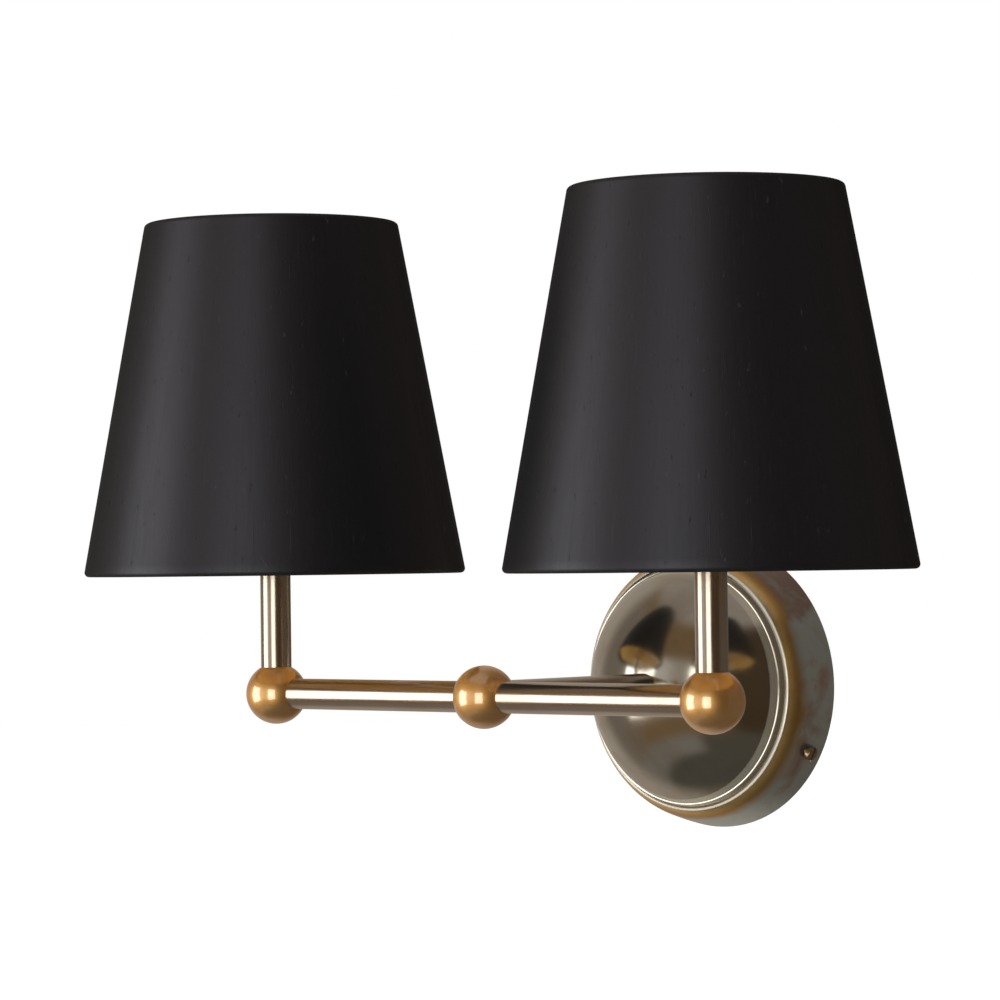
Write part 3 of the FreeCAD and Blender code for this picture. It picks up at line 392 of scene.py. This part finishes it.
def clear_glass():
    """Blown glass, faintly rippled."""
    f = Finish("clear_glass", Roughness=0.0, IOR=1.47, Transmission_Weight=1.0)
    ripple = f.noise(45.0, detail=2.0, roughness=0.4)
    clear, tinted = (0.985, 0.99, 0.99), (0.96, 0.975, 0.97)
    f.colour(f.mixed(ripple, clear, tinted))
    f.relief(ripple, GLASS_SKIN, 0.15)
    return f.material


def filament():
    """Coated thread of a lamp, golden yellow and dull."""
    f = Finish("filament")
    grain = f.noise(2200.0, detail=3.0, roughness=0.7)
    yellow, amber = (0.86, 0.62, 0.16), (0.72, 0.47, 0.08)
    f.colour(f.mixed(grain, yellow, amber))
    f.gloss(f.between(grain, MOST, (0.45, 0.6)))
    f.relief(grain, FILAMENT_SKIN, 0.5)
    return f.material


def earth_sleeve():
    """Green sleeve with a yellow stripe wound along it."""
    green, yellow = (0.05, 0.22, 0.04), (0.75, 0.60, 0.03)
    winds_along, winds_across = 900.0, 2400.0
    f = Finish("green_yellow_sleeve")
    x, _, z = f.parts()
    stripe = f.math("SINE", f.add(f.times(z, winds_along), f.times(x, winds_across)))
    f.colour(f.mixed(f.between(stripe, (-0.15, 0.15)), green, yellow))
    f.gloss(f.between(f.noise(700.0), MOST, (0.38, 0.5)))
    return f.material


# Each metal's light and dark tone, its lowest and highest roughness, and what else differs
METALS = {
    "raw_brass": ((0.80, 0.62, 0.33), (0.62, 0.45, 0.21), (0.20, 0.34)),
    "screw_brass": ((0.48, 0.38, 0.26), (0.32, 0.24, 0.15), (0.24, 0.38)),
    "zinc_steel": ((0.66, 0.67, 0.66), (0.54, 0.54, 0.50), (0.30, 0.46), 60.0),
    "nickel": ((0.74, 0.72, 0.68), (0.64, 0.61, 0.56), (0.14, 0.26)),
    "gold_lining": ((0.78, 0.52, 0.19), (0.70, 0.45, 0.15), (0.36, 0.48), 90.0, 0.35),
}

# Each moulded finish's light and dark tone, its roughness, and its scale where that differs
MOULDED = {
    "white_wire": ((0.80, 0.79, 0.75), (0.70, 0.69, 0.65), 0.38),
    "porcelain": ((0.86, 0.85, 0.80), (0.78, 0.76, 0.70), 0.30, 200.0),
    "block_plastic": ((0.80, 0.79, 0.72), (0.70, 0.69, 0.62), 0.42),
    "black_glass": ((0.020, 0.020, 0.022), (0.03, 0.03, 0.03), 0.16),
    "brown_sleeve": ((0.16, 0.06, 0.025), (0.11, 0.04, 0.018), 0.42),
    "blue_sleeve": ((0.02, 0.10, 0.42), (0.015, 0.07, 0.32), 0.42),
}

TUBES = {axis: polished_tube(f"aged_brass_{axis}", axis) for axis in "xyz"}
FINISHES = {
    "backplate_brass": backplate_brass(),
    "bronze_ball": bronze_ball(),
    "green_yellow_sleeve": earth_sleeve(),
    "black_silk": black_silk(),
    "clear_glass": clear_glass(),
    "filament": filament(),
}
FINISHES.update({name: plain_metal(name, *looks) for name, looks in METALS.items()})
FINISHES.update({name: moulded(name, *looks) for name, looks in MOULDED.items()})


def dress(obj, material):
    """Gives an object one material all over."""
    obj.data.materials.clear()
    obj.data.materials.append(material)


# ---------------------------------------------------------------- meshes


def placed(name, data):
    """A new object of the scene for a mesh, a light or a camera."""
    obj = bpy.data.objects.new(name, data)
    bpy.context.scene.collection.objects.link(obj)
    return obj


def hem_arc(centre, radius, first, last):
    """Points of an arc in (radius, height), from one angle to another in degrees."""
    points = []
    for k in range(HEM_STEPS + 1):
        angle = math.radians(first + (last - first) * k / HEM_STEPS)
        points.append((centre[0] + radius * math.cos(angle), centre[1] + radius * math.sin(angle)))
    return points


def turned(name, outline, at, uneven):
    """A turned mesh round a closed outline in (radius, height), with a UV map in metres."""
    count = len(outline)
    widest = max(radius for radius, _ in outline)
    along = [0.0]
    for a, b in zip(outline, outline[1:] + outline[:1]):
        along.append(along[-1] + math.dist(a, b))
    verts, faces, corners = [], [], []
    for k in range(CLOTH_STEPS):
        angle = FULL_TURN * k / CLOTH_STEPS
        for radius, height in outline:
            r = radius + uneven(angle, radius, height)
            verts.append((r * math.cos(angle), r * math.sin(angle), height))
        here, there = k * count, (k + 1) % CLOTH_STEPS * count
        left, right = (FULL_TURN * side / CLOTH_STEPS * widest for side in (k, k + 1))
        for i in range(count):
            j = (i + 1) % count
            low, high = along[i], along[i + 1]
            faces.append((here + i, there + i, there + j, here + j))
            corners += [(left, low), (right, low), (right, high), (left, high)]
    mesh = bpy.data.meshes.new(name)
    mesh.from_pydata(verts, [], faces)
    for corner, place in zip(mesh.uv_layers.new(name="cloth").data, corners):
        corner.uv = place
    obj = placed(name, mesh)
    mesh.transform(Matrix.Translation(at))
    finish_mesh(mesh)
    return obj


def finish_mesh(mesh):
    """Cleans a mesh, turns its faces outwards and smooths all but its creases."""
    work = bmesh.new()
    work.from_mesh(mesh)
    bmesh.ops.remove_doubles(work, verts=work.verts, dist=MERGE_WITHIN)
    bmesh.ops.dissolve_degenerate(work, dist=DEGENERATE_BELOW, edges=work.edges)
    bmesh.ops.recalc_face_normals(work, faces=work.faces)
    work.to_mesh(mesh)
    work.free()
    mesh.shade_smooth()
    mesh.set_sharp_from_angle(angle=math.radians(CREASE_DEGREES))


# ---------------------------------------------------------------- shades


def shade_radius(t):
    """The outer radius of a shade at a share of its height."""
    return SHADE_BASE_R + (SHADE_TOP_R - SHADE_BASE_R) * t


def cloth_outline():
    """Section of the cloth, closed: outside, hems and inside. Its rows carry its unevenness."""
    bore = HEM - SHADE_CLOTH
    low, high = HEM, SHADE_HEIGHT - HEM
    shares = [k / CLOTH_ROWS for k in range(1, CLOTH_ROWS)]
    outer = [(shade_radius(t), low + (high - low) * t) for t in shares]
    inner = [(radius - SHADE_CLOTH, height) for radius, height in reversed(outer)]
    top_hem, base_hem = (SHADE_TOP_R - HEM, high), (SHADE_BASE_R - HEM, low)
    top_return, base_return = SHADE_TOP_R - HEM * 2, SHADE_BASE_R - HEM * 2
    return (
        hem_arc(base_hem, HEM, -180, 0)
        + outer
        + hem_arc(top_hem, HEM, 0, 180)
        + [(top_return, high - HEM_RETURN), (top_return + SHADE_CLOTH, high - HEM_RETURN)]
        + hem_arc(top_hem, bore, 180, 0)
        + inner
        + hem_arc(base_hem, bore, 0, -180)
        + [(base_return + SHADE_CLOTH, low + HEM_RETURN), (base_return, low + HEM_RETURN)]
    )


def shade_cloth(side, sign):
    """The silk of one shade, stretched over the lining and rolled round both hem wires."""
    low_corner, high_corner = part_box(f"shade_cloth_{side}")
    foot = (low_corner + high_corner) / 2
    foot.z = low_corner.z
    seam_at = math.radians(90 + SEAM_FROM_BACK_DEGREES * sign)
    just_inside = (HEM - SHADE_CLOTH) / 2

    def uneven(angle, radius, height):
        """Waves of 5, 9 and 17 crests round the cloth, and the overlap of its seam at the back."""
        t = height / SHADE_HEIGHT
        if radius <= shade_radius(t) - just_inside:
            return 0.0
        swell = math.sin(5 * angle + 1.3 + sign) + 0.7 * math.sin(9 * angle + 4 * t + sign)
        swell += 0.5 * math.sin(17 * angle - 3 * t)
        from_seam = (angle - seam_at) * radius
        lap = SEAM_RISE if 0 < from_seam < SEAM_OVERLAP else 0.0
        return swell * SWELL * math.sin(math.pi * min(1, max(0, t))) + lap

    piece = turned(f"shade_{side}_silk", cloth_outline(), foot, uneven)
    dress(piece, FINISHES["black_silk"])
    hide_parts(f"shade_cloth_{side}")
    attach(piece, f"{side}_shade")


# ---------------------------------------------------------------- the CAD pieces' materials


def tube_finish(node):
    """The tubes' fine marks run along them: the arms' along X, the stem's Y and the posts' Z."""
    axis = {"arm": "x", "stem": "y", "post": "z"}[node.split("_")[0]]
    return TUBES[axis]


def set_materials():
    for row in frame["record"]["subparts"]:
        node, slot = row["node"], row["material_slot"]
        material = tube_finish(node) if slot == "aged_brass" else FINISHES[slot]
        dress(frame["nodes"][node], material)


# ---------------------------------------------------------------- stage, light and camera


def stage_floor():
    """A white floor, far enough below the lamps to leave views from below free."""
    white, off_white = (0.93, 0.93, 0.93), (0.90, 0.90, 0.90)
    mesh = bpy.data.meshes.new("floor")
    angles = [FULL_TURN * k / FLOOR_STEPS for k in range(FLOOR_STEPS)]
    ring = [(FLOOR_R * math.cos(angle), FLOOR_R * math.sin(angle), FLOOR_Z) for angle in angles]
    mesh.from_pydata(ring, [], [tuple(range(FLOOR_STEPS))])
    floor = placed("floor", mesh)
    f = Finish("pale_floor", Roughness=0.85, Emission_Color=(*WHITE, 1.0), Emission_Strength=0.22)
    f.colour(f.mixed(f.noise(3.0), white, off_white))
    dress(floor, f.material)
    floor.visible_glossy = False


def softbox(name, azimuth, distance, size, radiance):
    """A large soft light that faces the lamps. Its azimuth is 0 degrees straight out from the wall."""
    a, e = math.radians(azimuth), math.radians(WINDOW_ELEVATION_DEGREES)
    away = Vector((math.sin(a) * math.cos(e), -math.cos(a) * math.cos(e), math.sin(e)))
    light = bpy.data.lights.new(name, "AREA")
    light.shape = "RECTANGLE"
    light.size, light.size_y = size
    light.color = WINDOW_COLOUR
    light.energy = radiance * math.pi * size[0] * size[1]
    obj = placed(name, light)
    obj.location = LAMPS_CENTRE + away * distance
    obj.rotation_euler = away.to_track_quat("Z", "Y").to_euler()
    obj.visible_camera = False


def room_seen(f, x, z):
    """The room in front of the wall, by the parts of a direction."""
    warm, dim_right, pale_left = (0.20, 0.125, 0.065), (0.062, 0.040, 0.022), (0.20, 0.162, 0.134)
    beside_left_window, between_windows = (0.56, 0.53, 0.51), (0.34, 0.30, 0.26)
    low_left, low_right = (0.22, 0.195, 0.18), (0.090, 0.080, 0.064)
    underfoot, overhead = (0.088, 0.080, 0.068), (0.33, 0.285, 0.265)
    room = f.mixed(f.between(x, (0.35, 0.70)), warm, dim_right)
    room = f.mixed(f.between(x, (-0.60, -0.82)), room, pale_left)
    in_band = f.times(f.between(x, (-0.48, -0.36)), f.between(x, (0.34, 0.22)))
    level = f.times(f.between(z, (-0.42, -0.28)), f.between(z, (0.42, 0.28)))
    band_light = f.mixed(f.between(x, (-0.40, -0.02)), beside_left_window, between_windows)
    room = f.mixed(f.times(in_band, level), room, band_light)
    low_patch = f.mixed(f.between(x, (0.00, 0.22)), low_left, low_right)
    room = f.mixed(f.between(z, (-0.55, -0.70)), room, low_patch)
    room = f.mixed(f.between(z, (-0.78, -0.86)), room, underfoot)
    return f.mixed(f.between(z, (0.70, 0.82)), room, overhead)


def wall_seen(f, x, y):
    """The wall behind the lamps, paler on the left and dim straight behind."""
    pale_left, dim_right, behind = (0.40, 0.345, 0.30), (0.110, 0.084, 0.064), (0.105, 0.085, 0.070)
    wall = f.mixed(f.between(x, (-0.55, 0.15)), pale_left, dim_right)
    return f.mixed(f.between(y, (0.88, 0.97)), wall, behind)


def studio_world():
    """White to the camera and to matt surfaces; gloss sees a dim room with a pale wall."""
    world = bpy.data.worlds.new("studio")
    bpy.context.scene.world = world
    f = Nodes(world, "ShaderNodeOutputWorld", "ShaderNodeBackground", "Generated")
    x, y, z = f.parts()
    glossy = f.mixed(f.between(y, (-0.10, 0.25)), room_seen(f, x, z), wall_seen(f, x, y))
    is_glossy = f.node("ShaderNodeLightPath").outputs["Is Glossy Ray"]
    f.feed(f.surface.inputs["Color"], f.mixed(is_glossy, WHITE, glossy))


def camera():
    """Stands where the photograph was taken from."""
    data = bpy.data.cameras.new("camera")
    data.sensor_width = SENSOR_MM
    data.lens = LENS_MM
    data.clip_start = 0.05
    data.clip_end = 100.0
    azimuth, pitch, roll = map(math.radians, CAMERA_DEGREES.values())
    right = Vector((math.cos(azimuth), math.sin(azimuth), 0.0))
    level = math.cos(pitch)
    ahead = Vector((-math.sin(azimuth) * level, math.cos(azimuth) * level, math.sin(pitch)))
    up = right.cross(ahead)
    rolled_right = right * math.cos(roll) + up * math.sin(roll)
    rolled_up = up * math.cos(roll) - right * math.sin(roll)
    columns = Matrix((rolled_right, rolled_up, -ahead)).transposed().to_4x4()
    obj = placed("camera", data)
    obj.matrix_world = Matrix.Translation(CAMERA_AT) @ columns
    bpy.context.scene.camera = obj


set_materials()
for side_name, side_sign in SIDES:
    shade_cloth(side_name, side_sign)
stage_floor()
studio_world()
softbox("window_left", azimuth=-45.0, distance=1.6, size=(0.96, 1.10), radiance=2.75)
softbox("window_front", azimuth=20.5, distance=1.9, size=(0.95, 1.28), radiance=2.3)
camera()
bpy.context.scene.view_settings.view_transform = "Standard"
